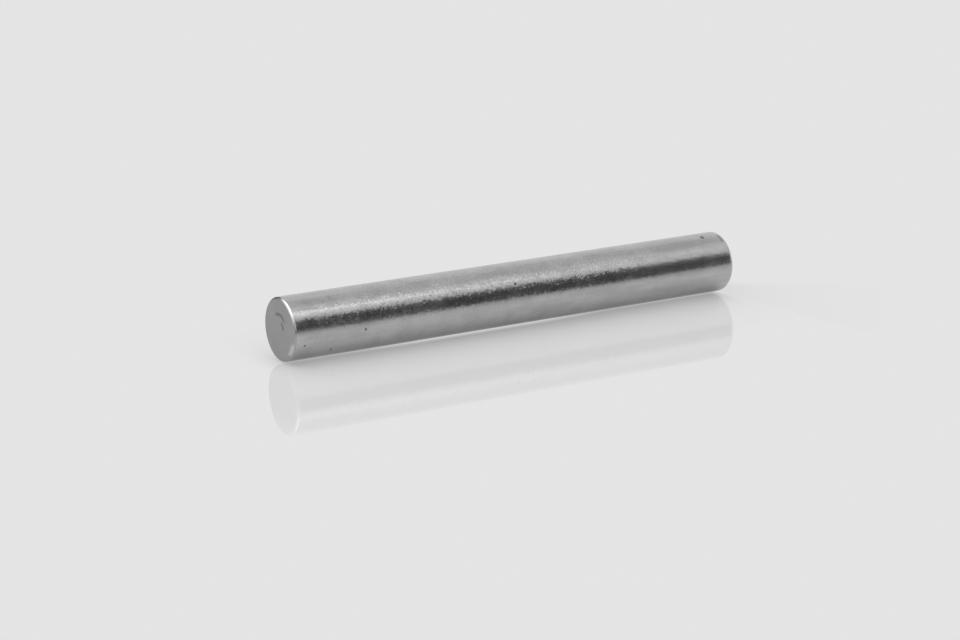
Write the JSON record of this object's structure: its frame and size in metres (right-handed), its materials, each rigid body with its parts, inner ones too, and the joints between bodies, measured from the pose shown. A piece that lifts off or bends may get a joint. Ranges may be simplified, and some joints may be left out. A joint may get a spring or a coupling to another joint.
{
  "type": "steering lever pin",
  "caption": "Plain round steel pin with rounded edges, which joins a steering lever to its rod or fork.",
  "frame": {"origin": "centre of the base end face", "axes": "+Z along the pin, from the base end to the top end with the tool marks"},
  "size_m": [0.01, 0.01, 0.082],
  "materials": {
    "steel": "satin"
  },
  "bodies": {
    "root": {"pin": "steel"}
  },
  "joints": []
}
